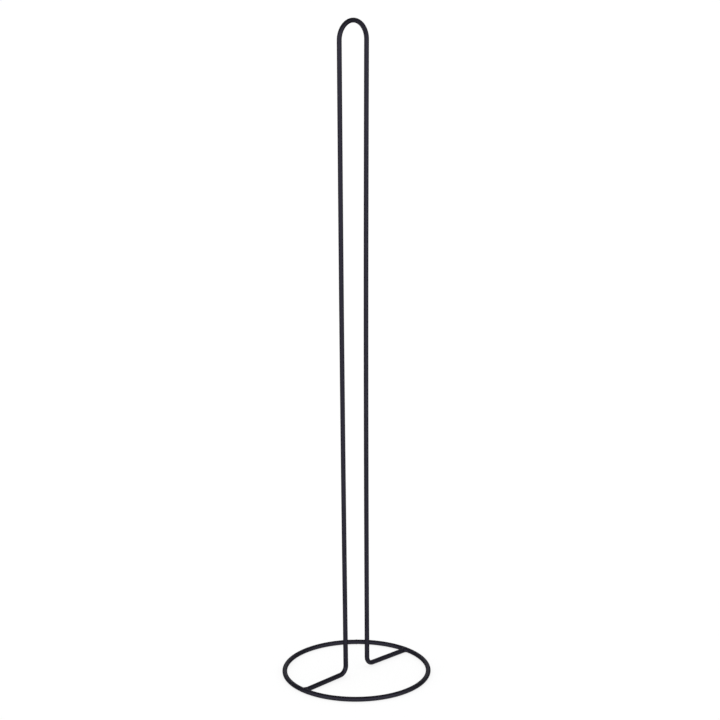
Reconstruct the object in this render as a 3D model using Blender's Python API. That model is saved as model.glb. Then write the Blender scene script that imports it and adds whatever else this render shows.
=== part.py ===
"""Free-standing paper towel holder, bent from round steel wire and welded.

One wire is rolled into a ring that lies flat as the base. A second wire is a hairpin that stands
in the middle of the ring: two legs, a round arch that joins them at the top, and at the bottom of
each leg a tight bend outwards into a foot. The feet run along one diameter of the ring and are
butt welded to its inner side.

Metres, +Z up. The origin is the ring's centre on the surface that the holder stands on, and the
hairpin lies in the XZ plane.
"""

import math

import bmesh
import bpy
from mathutils import Matrix, Vector

# Driving dimensions
STEEL_D = 0.0040  # bare wire
COAT = 0.000075  # thickness of the coat on it
BASE_D = 0.138  # outside of the base ring
HEIGHT = 0.600  # top of the arch above the resting plane
ARCH_R = 0.0166  # arch, to the wire's centreline
LEG_PITCH = 0.0280  # between the legs' centrelines, where they would cross the feet's
BEND_R = 0.0073  # bend from leg to foot, to the wire's centreline
FOOT_RISE = 0.0010  # how far a foot climbs from the ring to its leg

# Welds
GAP = 0.0003  # left between neighbouring solids
SEAM_AT = math.radians(45.0)  # where the ring's two ends meet
SEAM_WELD_L = 0.0014  # length of the bead that closes the ring
SEAM_PROUD = 0.00012  # how far that bead stands out of the wire
FOOT_WELD_L = 0.0019  # from the ring's inner side to the foot's end
FOOT_WELD_R = 0.0028  # radius of the foot's bead at the ring
FOOT_WELD_MID = 0.55  # share of the bead's flare that it has half way to the ring
FOOT_WELD_OVER = 0.0012  # how far the bead climbs over the ring, past its inner side

# Facets
WIRE_SIDES = 16
RING_STEP = math.radians(3.75)
ARCH_STEP = math.radians(5.0)
BEND_STEP = math.radians(9.0)
LEG_PARTS = 6

# Worked out from the above
WIRE_R = STEEL_D / 2 + COAT
RING_R = BASE_D / 2 - WIRE_R
RING_CENTRE = Vector((0.0, 0.0, WIRE_R))
Y_AXIS = Vector((0.0, 1.0, 0.0))
Z_AXIS = Vector((0.0, 0.0, 1.0))

COAT_COLOUR = (0.022, 0.021, 0.027, 1.0)
COAT_ROUGHNESS = 0.42
WELD_ROUGHNESS = 0.50
SHARP_EDGE = math.radians(40.0)


def clear_scene():
    for obj in list(bpy.data.objects):
        bpy.data.objects.remove(obj, do_unlink=True)


def coated_steel(name, roughness):
    material = bpy.data.materials.new(name)
    material.use_nodes = True
    shader = material.node_tree.nodes["Principled BSDF"]
    shader.inputs["Base Color"].default_value = COAT_COLOUR
    shader.inputs["Roughness"].default_value = roughness
    shader.inputs["Metallic"].default_value = 0.0
    material.diffuse_color = COAT_COLOUR
    return material


def cut_end(bm, radius, place):
    """A wire's cut end: a polygon whose flats are at this radius, in the place's XY plane."""
    made = bmesh.ops.create_circle(
        bm,
        cap_ends=True,
        segments=WIRE_SIDES,
        radius=radius / math.cos(math.pi / WIRE_SIDES),
    )
    half_side = Matrix.Rotation(math.pi / WIRE_SIDES, 4, "Z")
    bmesh.ops.transform(bm, matrix=place @ half_side, verts=made["verts"])
    return made["verts"][0].link_faces[0]


def with_border(face):
    return [face, *face.edges, *face.verts]


def face_in(geometry):
    return next(item for item in geometry if isinstance(item, bmesh.types.BMFace))


def feed(bm, end, step, parts=1):
    """Lengthens a wire from its end face by a straight stretch."""
    for _ in range(parts):
        made = bmesh.ops.extrude_face_region(bm, geom=with_border(end))
        end = face_in(made["geom"])
        bmesh.ops.translate(bm, vec=step / parts, verts=end.verts)
    return end


def bend(bm, end, centre, axis, angle, step):
    """Lengthens a wire from its end face round an arc."""
    made = bmesh.ops.spin(
        bm,
        geom=with_border(end),
        cent=centre,
        axis=axis,
        angle=angle,
        steps=max(1, round(abs(angle) / step)),
        use_merge=False,
        use_duplicate=False,
    )
    return face_in(made["geom_last"])


def swell(end, amount):
    """Moves an end face's corners out from its middle, or in."""
    middle = end.calc_center_median()
    for vert in end.verts:
        vert.co += (vert.co - middle).normalized() * amount


def mesh_of(name, bm, material):
    bmesh.ops.recalc_face_normals(bm, faces=bm.faces)
    mesh = bpy.data.meshes.new(name)
    bm.to_mesh(mesh)
    bm.free()
    mesh.materials.append(material)
    mesh.shade_smooth()
    mesh.set_sharp_from_angle(angle=SHARP_EDGE)
    return mesh


def add_object(name, mesh, parent):
    obj = bpy.data.objects.new(name, mesh)
    obj.parent = parent
    bpy.context.scene.collection.objects.link(obj)
    return obj


def ring_section(angle):
    """Where a section of the ring lies at this angle. Its +Z runs along the ring."""
    return (
        Matrix.Rotation(angle, 4, "Z")
        @ Matrix.Translation((RING_R, 0.0, WIRE_R))
        @ Matrix.Rotation(-math.pi / 2, 4, "X")
    )


def base_ring(coat, parent):
    """The ring, open where its seam weld goes. It has a section on each of its axes."""
    opening = (SEAM_WELD_L / 2 + GAP) / RING_R
    bm = bmesh.new()
    end = cut_end(bm, WIRE_R, ring_section(SEAM_AT + opening))
    to_y_axis = math.pi / 2 - SEAM_AT - opening
    end = bend(bm, end, RING_CENTRE, Z_AXIS, to_y_axis, RING_STEP)
    end = bend(bm, end, RING_CENTRE, Z_AXIS, 1.5 * math.pi, RING_STEP)
    bend(bm, end, RING_CENTRE, Z_AXIS, SEAM_AT - opening, RING_STEP)
    return add_object("base_ring", mesh_of("base_ring", bm, coat), parent)


def ring_seam_weld(coat, parent):
    """The bead that closes the ring: a little proud of the wire, and dressed flush underneath."""
    half_turn = SEAM_WELD_L / 2 / RING_R
    bm = bmesh.new()
    end = cut_end(bm, WIRE_R, ring_section(SEAM_AT - half_turn))
    end = bend(bm, end, RING_CENTRE, Z_AXIS, half_turn, RING_STEP)
    swell(end, SEAM_PROUD)
    end = bend(bm, end, RING_CENTRE, Z_AXIS, half_turn, RING_STEP)
    swell(end, -SEAM_PROUD)
    for vert in bm.verts:
        vert.co.z = max(vert.co.z, 0.0)
    return add_object("ring_seam_weld", mesh_of("ring_seam_weld", bm, coat), parent)


def hairpin_angles():
    """The foot's climb, the leg's lean outwards, and the leg's length from corner to arch."""
    half_pitch = LEG_PITCH / 2
    rise = HEIGHT - WIRE_R - ARCH_R - (WIRE_R + FOOT_RISE)
    to_centre = math.hypot(half_pitch, rise)
    lean = math.asin(ARCH_R / to_centre) - math.atan(half_pitch / rise)
    climb = math.atan(FOOT_RISE / (RING_R - half_pitch))
    return climb, lean, math.sqrt(to_centre**2 - ARCH_R**2)


def heading(angle):
    """A direction in the hairpin's plane, counted from +X towards +Z."""
    return Vector((math.cos(angle), 0.0, math.sin(angle)))


def foot_section(start, climb):
    """Where a section of the left foot lies. Its +Z runs along the foot, towards the middle."""
    return Matrix.Translation(start) @ Matrix.Rotation(math.pi / 2 - climb, 4, "Y")


def upright_wire(coat, parent):
    """The hairpin in the order that it is bent: foot, bend, leg, arch, leg, bend, foot."""
    climb, lean, leg = hairpin_angles()
    quarter = math.pi / 2
    turn = quarter + lean - climb
    setback = BEND_R * math.tan(turn / 2)
    weld = WIRE_R + FOOT_WELD_L
    foot = heading(climb) * ((RING_R - LEG_PITCH / 2) / math.cos(climb) - setback - weld)
    start = Vector((-RING_R, 0.0, WIRE_R)) + heading(climb) * weld
    left_bend = start + foot + heading(climb + quarter) * BEND_R
    right_bend = Vector((-left_bend.x, 0.0, left_bend.z))
    arch = Vector((0.0, 0.0, HEIGHT - WIRE_R - ARCH_R))
    up_leg = heading(quarter + lean) * (leg - setback)
    down_leg = heading(-quarter - lean) * (leg - setback)

    bm = bmesh.new()
    end = cut_end(bm, WIRE_R, foot_section(start, climb))
    end = feed(bm, end, foot)
    end = bend(bm, end, left_bend, Y_AXIS, -turn, BEND_STEP)
    end = feed(bm, end, up_leg, parts=LEG_PARTS)
    end = bend(bm, end, arch, Y_AXIS, math.pi + 2 * lean, ARCH_STEP)
    end = feed(bm, end, down_leg, parts=LEG_PARTS)
    end = bend(bm, end, right_bend, Y_AXIS, -turn, BEND_STEP)
    feed(bm, end, Vector((foot.x, 0.0, -foot.z)))
    return add_object("upright_wire", mesh_of("upright_wire", bm, coat), parent)


def ring_clearance():
    """Cutter: the whole ring, thicker by the gap, so that a foot's bead follows its curve."""
    bm = bmesh.new()
    section = cut_end(bm, WIRE_R + GAP, ring_section(0.0))
    bmesh.ops.spin(
        bm,
        geom=list(section.edges),
        cent=RING_CENTRE,
        axis=Z_AXIS,
        angle=2 * math.pi,
        steps=round(2 * math.pi / RING_STEP),
        use_merge=True,
    )
    bmesh.ops.delete(bm, geom=[section], context="FACES_ONLY")
    cutter = add_object("ring_clearance", mesh_of("ring_clearance", bm, None), None)
    cutter.hide_render = True
    cutter.display_type = "WIRE"
    return cutter


def foot_weld_mesh(coat):
    """The left foot's bead: it flares towards the ring, and is dressed flat above the table."""
    climb = hairpin_angles()[0]
    outer_end = Vector((-RING_R, 0.0, WIRE_R))
    start = outer_end + heading(climb) * (WIRE_R + FOOT_WELD_L - GAP)
    half_way = -heading(climb) * (FOOT_WELD_L - GAP) / 2
    flare = FOOT_WELD_R - WIRE_R
    bm = bmesh.new()
    end = cut_end(bm, WIRE_R, foot_section(start, climb))
    end = feed(bm, end, half_way)
    swell(end, flare * FOOT_WELD_MID)
    end = feed(bm, end, half_way)
    swell(end, flare * (1 - FOOT_WELD_MID))
    feed(bm, end, -heading(climb) * FOOT_WELD_OVER)
    cut = bmesh.ops.bisect_plane(
        bm,
        geom=[*bm.verts, *bm.edges, *bm.faces],
        plane_co=Vector((0.0, 0.0, GAP)),
        plane_no=-Z_AXIS,
        clear_outer=True,
    )["geom_cut"]
    edges = [item for item in cut if isinstance(item, bmesh.types.BMEdge)]
    bmesh.ops.holes_fill(bm, edges=edges)
    return mesh_of("foot_weld", bm, coat)


def foot_welds(coat, parent):
    """One bead, placed twice, half a turn apart."""
    mesh = foot_weld_mesh(coat)
    cutter = ring_clearance()
    for name, turn in (("left_foot_weld", 0.0), ("right_foot_weld", math.pi)):
        bead = add_object(name, mesh, parent)
        bead.rotation_euler.z = turn
        cut = bead.modifiers.new("follow_ring", "BOOLEAN")
        cut.operation = "DIFFERENCE"
        cut.solver = "EXACT"
        cut.object = cutter


def main():
    clear_scene()
    coat = coated_steel("satin_black_coat", COAT_ROUGHNESS)
    weld_coat = coated_steel("satin_black_coat_on_weld", WELD_ROUGHNESS)
    holder = add_object("paper_towel_holder", None, None)
    base_ring(coat, holder)
    ring_seam_weld(weld_coat, holder)
    upright_wire(coat, holder)
    foot_welds(weld_coat, holder)


main()
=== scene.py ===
import math

import bmesh
import bpy
import numpy as np
from mathutils import Matrix, Vector, noise


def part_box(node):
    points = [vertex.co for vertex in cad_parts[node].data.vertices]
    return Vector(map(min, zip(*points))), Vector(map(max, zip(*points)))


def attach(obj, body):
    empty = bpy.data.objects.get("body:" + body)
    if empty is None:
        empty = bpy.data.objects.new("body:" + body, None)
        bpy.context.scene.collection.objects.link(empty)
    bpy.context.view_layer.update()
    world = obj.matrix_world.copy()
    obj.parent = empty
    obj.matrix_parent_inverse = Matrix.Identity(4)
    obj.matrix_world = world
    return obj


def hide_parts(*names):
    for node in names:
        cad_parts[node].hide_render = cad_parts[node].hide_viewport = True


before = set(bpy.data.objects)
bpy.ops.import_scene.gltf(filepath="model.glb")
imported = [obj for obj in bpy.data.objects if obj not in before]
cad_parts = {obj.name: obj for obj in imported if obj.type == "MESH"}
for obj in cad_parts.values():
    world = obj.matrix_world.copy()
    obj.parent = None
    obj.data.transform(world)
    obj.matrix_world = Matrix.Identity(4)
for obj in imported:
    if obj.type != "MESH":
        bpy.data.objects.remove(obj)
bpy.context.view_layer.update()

# The hairpin stands in the XZ plane with its feet along X, and the ring lies flat round them.
# All sizes are in metres.
ringLow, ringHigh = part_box("base_ring")
wireRadius = (ringHigh.z - ringLow.z) / 2
ringRadius = (ringHigh.x - ringLow.x) / 2 - wireRadius
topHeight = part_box("upright_wire")[1].z
quarterTurn = math.pi / 2
print("frame loaded,", len(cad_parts), "nodes")

# what all the pieces share: one wire and one coat
coatSettings = {
    "baseBuild": 0.00015,  # over the wire; powder gathers thicker on the base than on the legs
    "legBuild": 0.00007,
    "buildFrom": 0.010,  # heights between which it thins
    "buildTo": 0.060,
    "tableFlat": 0.00003,  # the coat is flat underneath, this far above the table
    "tint": (0.715, 0.68, 0.95, 1),  # the black's reflections are slightly blue
    "ior": 1.5,
}


def heading(angle):
    return Vector((math.cos(angle), 0.0, math.sin(angle)))  # in the hairpin's plane, from +X


def ease(low, high, value):
    t = min(1.0, max(0.0, (value - low) / (high - low)))
    return t * t * (3 - 2 * t)


def hump(middle, width, value):
    return math.exp(-((value - middle) / width) ** 2)


def wobble(turn, scale, along):
    # uneven from place to place, and it closes on itself round a wire
    return noise.noise((math.cos(turn) * scale, math.sin(turn) * scale, along))


def coatBuild(height):
    s = coatSettings
    thinned = ease(s["buildFrom"], s["buildTo"], height)
    return s["baseBuild"] + (s["legBuild"] - s["baseBuild"]) * thinned


def wireSection(centre, sideAxis, upAxis, around, radiusAt):
    # one ring of points about a wire's centreline
    points = []
    for j in range(around):
        angle = 2 * math.pi * j / around
        r = radiusAt(angle)
        points.append(centre + sideAxis * (r * math.cos(angle)) + upAxis * (r * math.sin(angle)))
    return points


def pressFlat(points):
    for point in points:
        point.z = max(point.z, coatSettings["tableFlat"])
    return points


def skinOver(sections, closed):
    # a closed wire joins its last section to its first, and an open one has a cap at each end
    around = len(sections[0])
    count = len(sections)
    points = [point for section in sections for point in section]
    faces = []
    for i in range(count if closed else count - 1):
        a = i * around
        b = (i + 1) % count * around
        for j in range(around):
            k = (j + 1) % around
            faces.append((a + j, a + k, b + k, b + j))
    if not closed:
        faces.append(tuple(range(around - 1, -1, -1)))
        faces.append(tuple(range((count - 1) * around, count * around)))
    return points, faces


def makePiece(name, points, faces, material, nodeName):
    mesh = bpy.data.meshes.new(name)
    mesh.from_pydata([tuple(p) for p in points], [], faces)
    mesh.materials.append(material)
    mesh.shade_smooth()
    turned = bmesh.new()
    turned.from_mesh(mesh)
    bmesh.ops.recalc_face_normals(turned, faces=turned.faces)
    turned.to_mesh(mesh)
    turned.free()
    piece = bpy.data.objects.new(name, mesh)
    bpy.context.scene.collection.objects.link(piece)
    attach(piece, "root")
    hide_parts(nodeName)
    print("made", name, "with", len(faces), "faces")


def newGroup(name, inputs, outputs):
    group = bpy.data.node_groups.new(name, "ShaderNodeTree")
    for label, kind, value in inputs:
        socket = group.interface.new_socket(label, in_out="INPUT", socket_type=kind)
        socket.default_value = value
    for label, kind in outputs:
        group.interface.new_socket(label, in_out="OUTPUT", socket_type=kind)
    return group, group.nodes.new("NodeGroupInput"), group.nodes.new("NodeGroupOutput")


def addNode(tree, kind, **values):
    node = tree.nodes.new(kind)
    for key, value in values.items():
        setattr(node, key, value)
    return node


def feed(tree, socket, value):
    # a number or colour sets the socket, and another socket is linked to it
    if isinstance(value, bpy.types.NodeSocket):
        tree.links.new(value, socket)
    else:
        socket.default_value = value


def addMath(tree, operation, first, second):
    node = addNode(tree, "ShaderNodeMath", operation=operation)
    feed(tree, node.inputs[0], first)
    feed(tree, node.inputs[1], second)
    return node.outputs[0]


def addNoise(tree, vector, scale, detail, roughness=0.5):
    node = addNode(tree, "ShaderNodeTexNoise")
    feed(tree, node.inputs["Vector"], vector)
    feed(tree, node.inputs["Scale"], scale)
    feed(tree, node.inputs["Detail"], detail)
    feed(tree, node.inputs["Roughness"], roughness)
    return node.outputs["Fac"]


def addRange(tree, value, fromLow, fromHigh, toLow, toHigh):
    node = addNode(tree, "ShaderNodeMapRange", interpolation_type="SMOOTHSTEP")
    feed(tree, node.inputs["Value"], value)
    feed(tree, node.inputs["From Min"], fromLow)
    feed(tree, node.inputs["From Max"], fromHigh)
    feed(tree, node.inputs["To Min"], toLow)
    feed(tree, node.inputs["To Max"], toHigh)
    return node.outputs["Result"]


def addColourMix(tree, factor, first, second):
    node = addNode(tree, "ShaderNodeMix", data_type="RGBA")
    feed(tree, node.inputs["Factor"], factor)
    feed(tree, node.inputs["A"], first)
    feed(tree, node.inputs["B"], second)
    return node.outputs["Result"]


def orangePeelGroup():
    # the gentle ripple of a baked powder coat and the finer tooth on it, as a height in metres
    group, start, end = newGroup(
        "orangePeel",
        [
            ("Vector", "NodeSocketVector", (0, 0, 0)),
            ("Ripple Scale", "NodeSocketFloat", 620.0),
            ("Ripple Depth", "NodeSocketFloat", 0.000010),
            ("Tooth Scale", "NodeSocketFloat", 3600.0),
            ("Tooth Depth", "NodeSocketFloat", 0.0000016),
        ],
        [("Height", "NodeSocketFloat")],
    )
    given = start.outputs
    ripple = addNoise(group, given["Vector"], given["Ripple Scale"], 1.2)
    tooth = addNoise(group, given["Vector"], given["Tooth Scale"], 2.0)
    deep = addMath(group, "MULTIPLY", ripple, given["Ripple Depth"])
    fine = addMath(group, "MULTIPLY", tooth, given["Tooth Depth"])
    feed(group, end.inputs["Height"], addMath(group, "ADD", deep, fine))
    return group


# between these levels of noise a patch goes from none to full
cloudEdges = (0.32, 0.68)
mottleEdges = (0.2, 0.8)
rubEdges = (0.48, 0.58)


def coatShadeGroup():
    # where the film lies thin or thick: its colour, and how it scatters
    group, start, end = newGroup(
        "coatShade",
        [
            ("Vector", "NodeSocketVector", (0, 0, 0)),
            ("Thin Colour", "NodeSocketColor", (0.0078, 0.0071, 0.0112, 1)),
            ("Thick Colour", "NodeSocketColor", (0.0046, 0.0042, 0.0067, 1)),
            ("Patch Scale", "NodeSocketFloat", 55.0),
            ("Grain Scale", "NodeSocketFloat", 900.0),
            ("Smoothest", "NodeSocketFloat", 0.34),
            ("Roughest", "NodeSocketFloat", 0.46),
        ],
        [("Colour", "NodeSocketColor"), ("Roughness", "NodeSocketFloat")],
    )
    given = start.outputs
    patch = addNoise(group, given["Vector"], given["Patch Scale"], 3.0)
    cloud = addRange(group, patch, *cloudEdges, 0.0, 1.0)  # 0 where the film is thick, 1 where thin
    colour = addColourMix(group, cloud, given["Thick Colour"], given["Thin Colour"])
    feed(group, end.inputs["Colour"], colour)
    grain = addNoise(group, given["Vector"], given["Grain Scale"], 2.0)
    mottle = addMath(group, "MULTIPLY", addMath(group, "ADD", cloud, grain), 0.5)
    rough = addRange(group, mottle, *mottleEdges, given["Smoothest"], given["Roughest"])
    feed(group, end.inputs["Roughness"], rough)
    return group


def rubbedGroup():
    # broken patches where the coat is rubbed, inside the area that a finish gives
    group, start, end = newGroup(
        "rubbedCoat",
        [
            ("Vector", "NodeSocketVector", (0, 0, 0)),
            ("Area", "NodeSocketFloat", 0.0),
            ("Patch Scale", "NodeSocketFloat", 260.0),
            ("Cover", "NodeSocketFloat", 0.5),
        ],
        [("Mask", "NodeSocketFloat")],
    )
    given = start.outputs
    patch = addNoise(group, given["Vector"], given["Patch Scale"], 4.0, 0.62)
    lifted = addMath(group, "ADD", patch, addMath(group, "SUBTRACT", given["Cover"], 0.5))
    broken = addRange(group, lifted, *rubEdges, 0.0, 1.0)
    feed(group, end.inputs["Mask"], addMath(group, "MULTIPLY", broken, given["Area"]))
    return group


orangePeel = orangePeelGroup()
coatShade = coatShadeGroup()
rubbedCoat = rubbedGroup()
print("finish groups ready")


def placeGroup(tree, group, vector, values):
    node = addNode(tree, "ShaderNodeGroup", node_tree=group)
    feed(tree, node.inputs["Vector"], vector)
    for label, value in values.items():
        feed(tree, node.inputs[label], value)
    return node.outputs


def heightBand(tree, coords, low, high, atLow, atHigh):
    split = addNode(tree, "ShaderNodeSeparateXYZ")
    feed(tree, split.inputs["Vector"], coords)
    return addRange(tree, split.outputs["Z"], low, high, atLow, atHigh)


def satinCoat(name, finish, band=None):
    # satin black powder coat; band is the stretch of height where it is rubbed
    material = bpy.data.materials.new(name)
    material.use_nodes = True
    tree = material.node_tree
    shader = tree.nodes["Principled BSDF"].inputs
    coords = addNode(tree, "ShaderNodeTexCoord").outputs["Object"]
    shade = placeGroup(tree, coatShade, coords, finish["shade"])
    peel = placeGroup(tree, orangePeel, coords, finish["peel"])
    colour, rough = shade["Colour"], shade["Roughness"]
    if band:
        area = heightBand(tree, coords, *band)
        mask = placeGroup(tree, rubbedCoat, coords, dict(finish["rub"], Area=area))["Mask"]
        colour = addColourMix(tree, mask, colour, finish["rubColour"])
        change = addMath(tree, "MULTIPLY", mask, finish["rubRoughness"])
        rough = addMath(tree, "ADD", rough, change)
    bump = addNode(tree, "ShaderNodeBump")
    feed(tree, bump.inputs["Strength"], 1.0)
    feed(tree, bump.inputs["Distance"], 1.0)
    feed(tree, bump.inputs["Height"], peel["Height"])
    feed(tree, shader["Base Color"], colour)
    feed(tree, shader["Roughness"], rough)
    feed(tree, shader["Normal"], bump.outputs["Normal"])
    feed(tree, shader["Metallic"], 0.0)
    feed(tree, shader["IOR"], coatSettings["ior"])
    feed(tree, shader["Specular Tint"], coatSettings["tint"])
    return material


# the base ring: one round of wire, ground smooth beside its seam
ringSettings = {
    "around": 48,
    "along": 600,
    "oval": 0.004,  # rolling squeezes the section a little
    "dressedLength": 0.0055,  # ground for this far on each side of the seam
    "dressedFade": 0.5,  # the outer share of that length, over which it runs out
    "dressedDepth": 0.00007,
    "strokeMean": 0.6,  # share of that depth, and how much it swings from stroke to stroke
    "strokeSwing": 0.4,
    "strokeSides": 3,  # strokes round the wire
    "strokeTwist": 900,  # and how fast they turn along it
    "contactBand": (0.00008, 0.00030, 1.0, 0.0),  # it rubs on the table up to here
    "finish": {
        "shade": {"Patch Scale": 48.0},
        "peel": {},
        "rub": {"Cover": 0.55},
        "rubColour": (0.035, 0.034, 0.037, 1),
        "rubRoughness": -0.10,
    },
}
up = Vector((0.0, 0.0, 1.0))
seamLow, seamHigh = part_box("ring_seam_weld")
seamAngle = math.atan2((seamLow.y + seamHigh.y) / 2, (seamLow.x + seamHigh.x) / 2)


def ringPlace(angle):
    outwards = Vector((math.cos(angle), math.sin(angle), 0.0))
    return outwards * ringRadius + up * wireRadius, outwards


def makeBaseRing():
    s = ringSettings
    thick = wireRadius + coatSettings["baseBuild"]
    sections = []
    for i in range(s["along"]):
        angle = 2 * math.pi * i / s["along"]
        centre, outwards = ringPlace(angle)
        away = abs((angle - seamAngle + math.pi) % (2 * math.pi) - math.pi) * ringRadius
        fadeFrom = s["dressedLength"] * (1 - s["dressedFade"])
        dressed = s["dressedDepth"] * (1 - ease(fadeFrom, s["dressedLength"], away))

        def radiusAt(turn):
            stroke = math.cos(s["strokeSides"] * turn + centre.x * s["strokeTwist"])
            ground = dressed * (s["strokeMean"] + s["strokeSwing"] * stroke)
            return thick * (1 + s["oval"] * math.cos(2 * turn)) - ground

        sections.append(pressFlat(wireSection(centre, outwards, up, s["around"], radiusAt)))
    points, faces = skinOver(sections, closed=True)
    finish = satinCoat("satinBlackRing", s["finish"], s["contactBand"])
    makePiece("baseRing", points, faces, finish, "base_ring")


makeBaseRing()

# the bead that closes the ring
seamSettings = {
    "around": 72,
    "along": 34,
    "length": 0.0030,
    "proud": 0.00013,
    "sunk": 0.00012,  # how far the bead's ends lie inside the wire
    "swellWidth": 0.52,  # as a share of half its length
    "lumps": 0.35,  # how uneven it stands
    "lumpScale": 1.7,
    "lumpStretch": 0.8,
    "wander": 0.16,  # how far its middle strays from the joint, as a share of half its length
    "wanderScale": 1.3,
    "seed": 4.0,
    "finish": {
        "shade": {"Patch Scale": 180.0, "Smoothest": 0.38, "Roughest": 0.50},
        "peel": {"Ripple Scale": 900.0, "Ripple Depth": 0.000020},
    },
}


def makeSeamBead():
    s = seamSettings
    thick = wireRadius + coatSettings["baseBuild"]
    sections = []
    for i in range(s["along"]):
        t = i / (s["along"] - 1) * 2 - 1
        centre, outwards = ringPlace(seamAngle + t * s["length"] / 2 / ringRadius)

        def radiusAt(turn):
            lump = 1 + s["lumps"] * wobble(turn, s["lumpScale"], t * s["lumpStretch"])
            strayed = s["wander"] * wobble(turn, s["wanderScale"], s["seed"])
            swell = hump(strayed, s["swellWidth"], t)
            return thick + (s["proud"] + s["sunk"]) * swell * lump - s["sunk"]

        sections.append(pressFlat(wireSection(centre, outwards, up, s["around"], radiusAt)))
    points, faces = skinOver(sections, closed=False)
    finish = satinCoat("satinBlackSeam", s["finish"])
    makePiece("ringSeamBead", points, faces, finish, "ring_seam_weld")


makeSeamBead()

# the upright: one wire that runs foot, leg, arch, leg and foot
uprightSettings = {
    "around": 48,
    "archRadius": 0.0166,
    "legPitch": 0.0280,  # between the legs, where their lines cross the feet's
    "bendRadius": 0.0073,
    "footRise": 0.0010,  # the feet climb this much from the ring to the legs
    "archOval": 0.0112,  # bending flattens the section
    "bendOval": 0.032,
    "ovalFade": 0.12,  # share of a bend over which it goes from round to flattened
    "pinMark": 0.00006,  # and the bending pin leaves a flat inside a bend
    "pinWidth": 0.12,  # how wide that flat is; 1 would be a quarter of the way round
    "endShort": 0.0004,  # a foot's end stops this far from the ring, inside its bead
    "leftBow": (-0.00033, 0.00034),  # the legs aren't quite straight, along X and Y
    "rightBow": (-0.00050, 0.00049),
    "straightStep": 0.004,
    "turnStep": math.radians(2.0),
    "slideBand": (topHeight - 0.060, topHeight - 0.004, 0.0, 1.0),  # rolls slide on here
    "finish": {
        "shade": {"Patch Scale": 34.0},
        "peel": {},
        "rub": {"Cover": 0.42, "Patch Scale": 420.0},
        "rubColour": (0.0135, 0.0125, 0.0175, 1),
        "rubRoughness": -0.06,
    },
}


def hairpinShape():
    s = uprightSettings
    half = s["legPitch"] / 2
    rise = topHeight - wireRadius - s["archRadius"] - (wireRadius + s["footRise"])
    toArch = math.hypot(half, rise)
    lean = math.asin(s["archRadius"] / toArch) - math.atan(half / rise)
    climb = math.atan(s["footRise"] / (ringRadius - half))
    leg = math.sqrt(toArch ** 2 - s["archRadius"] ** 2)
    return lean, climb, leg


def addStraight(samples, at, facing, length, bow=(0.0, 0.0)):
    steps = max(2, round(length / uprightSettings["straightStep"]))
    for i in range(steps):
        t = i / steps
        aside = Vector((bow[0], bow[1], 0.0)) * math.sin(math.pi * t)
        samples.append((at + heading(facing) * (length * t) + aside, facing, 0.0, 1))
    return at + heading(facing) * length


def addTurn(samples, at, facing, turn, radius, oval):
    fade = uprightSettings["ovalFade"]
    side = 1 if turn > 0 else -1
    pivot = at + heading(facing + side * quarterTurn) * radius
    steps = max(2, round(abs(turn) / uprightSettings["turnStep"]))
    for i in range(steps):
        t = i / steps
        angle = facing + turn * t
        bent = oval * ease(0.0, fade, t) * ease(0.0, fade, 1 - t)
        samples.append((pivot - heading(angle + side * quarterTurn) * radius, angle, bent, side))
    return pivot - heading(facing + turn + side * quarterTurn) * radius, facing + turn


def hairpinPath():
    # each sample is a centre, the way the wire faces, how oval it is and which way it bends
    s = uprightSettings
    lean, climb, leg = hairpinShape()
    turn = quarterTurn + lean - climb
    setback = s["bendRadius"] * math.tan(turn / 2)
    end = wireRadius + s["endShort"]
    foot = (ringRadius - s["legPitch"] / 2) / math.cos(climb) - setback - end
    samples = []
    facing = climb
    at = Vector((-ringRadius, 0.0, wireRadius)) + heading(climb) * end
    at = addStraight(samples, at, facing, foot)
    at, facing = addTurn(samples, at, facing, turn, s["bendRadius"], s["bendOval"])
    at = addStraight(samples, at, facing, leg - setback, s["leftBow"])
    at, facing = addTurn(samples, at, facing, -math.pi - 2 * lean, s["archRadius"], s["archOval"])
    at = addStraight(samples, at, facing, leg - setback, s["rightBow"])
    at, facing = addTurn(samples, at, facing, turn, s["bendRadius"], s["bendOval"])
    at = addStraight(samples, at, facing, foot)
    samples.append((at, facing, 0.0, 1))
    return samples


def makeUpright():
    s = uprightSettings
    acrossPlane = Vector((0.0, 1.0, 0.0))
    sections = []
    for centre, facing, bent, side in hairpinPath():
        thick = wireRadius + coatBuild(centre.z)

        def radiusAt(turn):
            towardsPin = side * math.cos(turn)  # 1 on the inside of the bend
            mark = s["pinMark"] * bent / s["bendOval"] * hump(1.0, s["pinWidth"], towardsPin)
            return thick * (1 - bent * math.cos(2 * turn)) - mark

        inPlane = heading(facing + quarterTurn)
        sections.append(pressFlat(wireSection(centre, inPlane, acrossPlane, s["around"], radiusAt)))
    points, faces = skinOver(sections, closed=False)
    finish = satinCoat("satinBlackUpright", s["finish"], s["slideBand"])
    makePiece("uprightWire", points, faces, finish, "upright_wire")


makeUpright()

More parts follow.
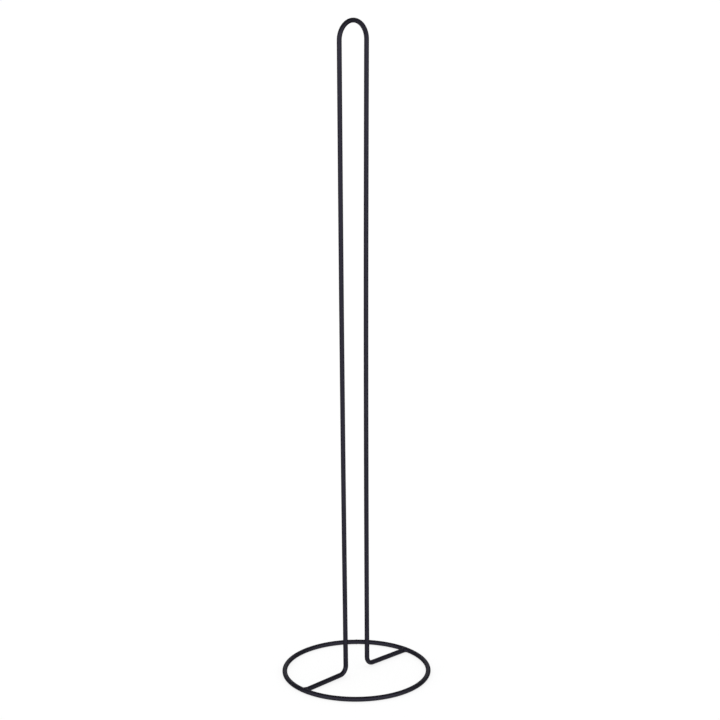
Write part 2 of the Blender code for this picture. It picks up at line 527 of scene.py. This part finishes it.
# the beads that join the feet to the ring, under the same coat
beadSettings = {
    "roundness": 6,  # times that the bead's round is divided
    "reach": 0.0050,  # no part of a bead is further than this from its middle
    "middleIn": 0.0017,  # from the ring's centreline towards the hairpin
    "fillet": 0.0018,  # how softly the foot runs into the ring
    "footFrom": 0.0018,  # the foot's round starts this far inside the ring's centreline
    "proud": 0.00022,  # how far the bead stands out of that run
    "ridgeAt": 0.0006,  # its crest, from the ring's inner side along the foot
    "ridgeWidth": 0.0011,
    "wander": 0.0005,  # how far the crest strays
    "wanderScale": 1.4,
    "lumps": 0.5,
    "lumpScale": 420,
    "ripples": 11,  # the weld pool's scallops
    "rippleDepth": 0.00006,
    "rippleStray": 1.5,
    "rippleSlant": 500,
    "sunk": 0.00045,  # how far the bead's edges lie inside the wires
    "fadeFrom": 0.0032,  # and from where they start to sink
    "clearOfTable": 0.00025,
    "edgeSoftness": 0.0004,
    "underSoftness": 0.0005,
    "searchFrom": 0.0002,  # certainly inside the bead
    "searchOver": 1.1,  # times the reach: certainly outside
    "halvings": 18,
    "leftSeed": 3.0,
    "rightSeed": 11.0,
    "finish": {
        "shade": {"Patch Scale": 220.0, "Smoothest": 0.33, "Roughest": 0.47},
        "peel": {"Ripple Scale": 800.0, "Ripple Depth": 0.000020},
    },
}


def softMin(a, b, width):
    blend = np.maximum(width - np.abs(a - b), 0) / width
    return np.minimum(a, b) - blend * blend * width / 4


def softMax(a, b, width):
    return -softMin(-a, -b, width)


def wireSkin(points, side):
    # distance outside the ring and the foot, which a fillet joins, and how far along the foot
    s = beadSettings
    _, climb, _ = hairpinShape()
    thick = wireRadius + coatSettings["baseBuild"]
    outwards = np.hypot(points[:, 0], points[:, 1]) - ringRadius
    ring = np.hypot(outwards, points[:, 2] - wireRadius) - thick
    footWay = np.array([-side * math.cos(climb), 0.0, math.sin(climb)])
    fromRing = points - np.array([side * ringRadius, 0.0, wireRadius])
    along = fromRing @ footWay
    onFoot = np.maximum(along, s["footFrom"])[:, None] * footWay
    foot = np.linalg.norm(fromRing - onFoot, axis=1) - thick
    return softMin(ring, foot, s["fillet"]), along


def beadSkin(points, side, middle, seed):
    s = beadSettings
    skin, along = wireSkin(points, side)
    turn = np.arctan2(points[:, 2] - wireRadius, points[:, 1])
    lumps = np.array([noise.noise((x + seed, y, z)) for x, y, z in points * s["lumpScale"]])
    stray = np.array([wobble(angle, s["wanderScale"], seed) for angle in turn])
    crest = wireRadius + s["ridgeAt"] + s["wander"] * stray
    ridge = np.exp(-((along - crest) / s["ridgeWidth"]) ** 2)
    ripple = turn * s["ripples"] / 2 + stray * s["rippleStray"] + along * s["rippleSlant"]
    scallop = np.abs(np.sin(ripple)) - 0.5
    swell = ridge * (s["proud"] * (1 + s["lumps"] * lumps) + s["rippleDepth"] * scallop)
    away = np.linalg.norm(points - middle, axis=1)
    fade = np.clip((away - s["fadeFrom"]) / (s["reach"] - s["fadeFrom"]), 0, 1)
    skin = skin - swell + s["sunk"] * fade * fade * (3 - 2 * fade)
    skin = softMax(skin, away - s["reach"], s["edgeSoftness"])
    return softMax(skin, s["clearOfTable"] - points[:, 2], s["underSoftness"])


def roundDirections(divisions):
    ball = bmesh.new()
    bmesh.ops.create_icosphere(ball, subdivisions=divisions, radius=1.0)
    directions = np.array([vert.co.normalized()[:] for vert in ball.verts])
    faces = [tuple(vert.index for vert in face.verts) for face in ball.faces]
    ball.free()
    return directions, faces


def makeBead(name, side, seed, nodeName, finish):
    # every point of a round is moved out from its middle until it meets the bead's skin
    s = beadSettings
    directions, faces = roundDirections(s["roundness"])
    middle = np.array([side * (ringRadius - s["middleIn"]), 0.0, wireRadius])
    low = np.full(len(directions), s["searchFrom"])
    high = np.full(len(directions), s["reach"] * s["searchOver"])
    for _ in range(s["halvings"]):
        half = (low + high) / 2
        inside = beadSkin(middle + directions * half[:, None], side, middle, seed) < 0
        low = np.where(inside, half, low)
        high = np.where(inside, high, half)
    points = middle + directions * half[:, None]
    makePiece(name, points.tolist(), faces, finish, nodeName)


beadFinish = satinCoat("satinBlackBead", beadSettings["finish"])
makeBead("leftFootBead", -1, beadSettings["leftSeed"], "left_foot_weld", beadFinish)
makeBead("rightFootBead", 1, beadSettings["rightSeed"], "right_foot_weld", beadFinish)

# the studio: a pale floor, even soft light, and a wide glow in front of the stand
studioSettings = {
    "floorSize": 70.0,
    "floorColour": (0.16, 0.16, 0.16, 1),
    "floorRoughness": 0.9,
    "floorLight": 0.80,  # the floor is lit from below too, so that shadows on it stay faint
    "paperWhite": 1.0,
    "fill": 1.30,  # the even light that falls on everything
    "facing": (-0.71, -0.71),  # where the stand's front is, along X and Y
    # what the coat reflects: each band is a start, an end, and the glow at either
    "frontAhead": (-0.10, 0.50, 0.0, 1.10),
    "frontLow": (-0.43, -0.18, 0.09, 1.0),
    "frontHigh": (0.42, 1.0, 1.0, 0.0),
    "backAhead": (-0.85, -0.45, 0.34, 0.0),
    "backLow": (0.05, 0.30, 0.0, 1.0),
    "backHigh": (0.50, 0.75, 1.0, 0.0),
    "floorBand": (-0.75, -0.40, 0.36, 0.0),
    "dimBand": (0.10, 0.45, 0.06, 0.03),  # everywhere else
}


def makeFloor():
    s = studioSettings
    half = s["floorSize"] / 2
    mesh = bpy.data.meshes.new("studioFloor")
    corners = [(-half, -half, 0), (half, -half, 0), (half, half, 0), (-half, half, 0)]
    mesh.from_pydata(corners, [], [(0, 1, 2, 3)])
    paper = bpy.data.materials.new("paleFloor")
    paper.use_nodes = True
    shader = paper.node_tree.nodes["Principled BSDF"].inputs
    shader["Base Color"].default_value = s["floorColour"]
    shader["Roughness"].default_value = s["floorRoughness"]
    shader["Specular IOR Level"].default_value = 0.0
    shader["Emission Color"].default_value = (1, 1, 1, 1)
    shader["Emission Strength"].default_value = s["floorLight"]
    mesh.materials.append(paper)
    floor = bpy.data.objects.new("studioFloor", mesh)
    bpy.context.scene.collection.objects.link(floor)
    floor.visible_glossy = False


def lobe(tree, *bands):
    # one patch of glow: the product of smooth bands
    product = 1.0
    for band in bands:
        product = addMath(tree, "MULTIPLY", addRange(tree, *band), product)
    return product


def studioGlow(tree):
    # how bright the studio is in the coat's reflections, by direction
    s = studioSettings
    direction = addNode(tree, "ShaderNodeTexCoord").outputs["Generated"]
    split = addNode(tree, "ShaderNodeSeparateXYZ")
    feed(tree, split.inputs["Vector"], direction)
    height = split.outputs["Z"]
    facing = addNode(tree, "ShaderNodeVectorMath", operation="DOT_PRODUCT")
    feed(tree, facing.inputs[0], direction)
    facing.inputs[1].default_value = (*s["facing"], 0.0)
    ahead = facing.outputs["Value"]
    front = lobe(
        tree,
        (ahead, *s["frontAhead"]),
        (height, *s["frontLow"]),
        (height, *s["frontHigh"]),
    )
    back = lobe(
        tree,
        (ahead, *s["backAhead"]),
        (height, *s["backLow"]),
        (height, *s["backHigh"]),
    )
    floor = lobe(tree, (height, *s["floorBand"]))
    dim = lobe(tree, (height, *s["dimBand"]))
    wide = addMath(tree, "ADD", front, back)
    return addMath(tree, "ADD", wide, addMath(tree, "ADD", floor, dim))


def addBackground(tree, strength):
    background = addNode(tree, "ShaderNodeBackground")
    feed(tree, background.inputs["Color"], (1, 1, 1, 1))
    feed(tree, background.inputs["Strength"], strength)
    return background.outputs[0]


def addShaderMix(tree, factor, first, second):
    node = addNode(tree, "ShaderNodeMixShader")
    feed(tree, node.inputs["Fac"], factor)
    feed(tree, node.inputs[1], first)
    feed(tree, node.inputs[2], second)
    return node.outputs[0]


def makeWorld():
    s = studioSettings
    world = bpy.data.worlds.new("softStudio")
    bpy.context.scene.world = world
    world.use_nodes = True
    tree = world.node_tree
    tree.nodes.clear()
    rays = addNode(tree, "ShaderNodeLightPath").outputs
    even = addBackground(tree, s["fill"])
    glow = addBackground(tree, studioGlow(tree))
    light = addShaderMix(tree, rays["Is Glossy Ray"], even, glow)
    seen = addShaderMix(tree, rays["Is Camera Ray"], light, addBackground(tree, s["paperWhite"]))
    feed(tree, addNode(tree, "ShaderNodeOutputWorld").inputs["Surface"], seen)


cameraSettings = {
    "azimuth": -45.137,
    "elevation": 13.184,
    "roll": -0.281,
    "distance": 1.56757,
    "aim": (0.0033, -0.0033, 0.2989),
    "lens": 87.53,
    "sensor": 36.0,
    "clip": (0.05, 200.0),
}


def makeCamera():
    s = cameraSettings
    azimuth = math.radians(s["azimuth"])
    elevation = math.radians(s["elevation"])
    back = Vector((
        math.sin(azimuth) * math.cos(elevation),
        -math.cos(azimuth) * math.cos(elevation),
        math.sin(elevation),
    ))
    optics = bpy.data.cameras.new("camera")
    optics.lens = s["lens"]
    optics.sensor_width = s["sensor"]
    optics.clip_start, optics.clip_end = s["clip"]
    camera = bpy.data.objects.new("camera", optics)
    camera.location = Vector(s["aim"]) + back * s["distance"]
    level = (-back).to_track_quat("-Z", "Y").to_matrix()
    roll = Matrix.Rotation(math.radians(s["roll"]), 3, "Z")
    camera.rotation_euler = (level @ roll).to_euler()
    bpy.context.scene.collection.objects.link(camera)
    bpy.context.scene.camera = camera


makeFloor()
makeWorld()
makeCamera()
bpy.context.scene.view_settings.view_transform = "Standard"
print("studio ready")
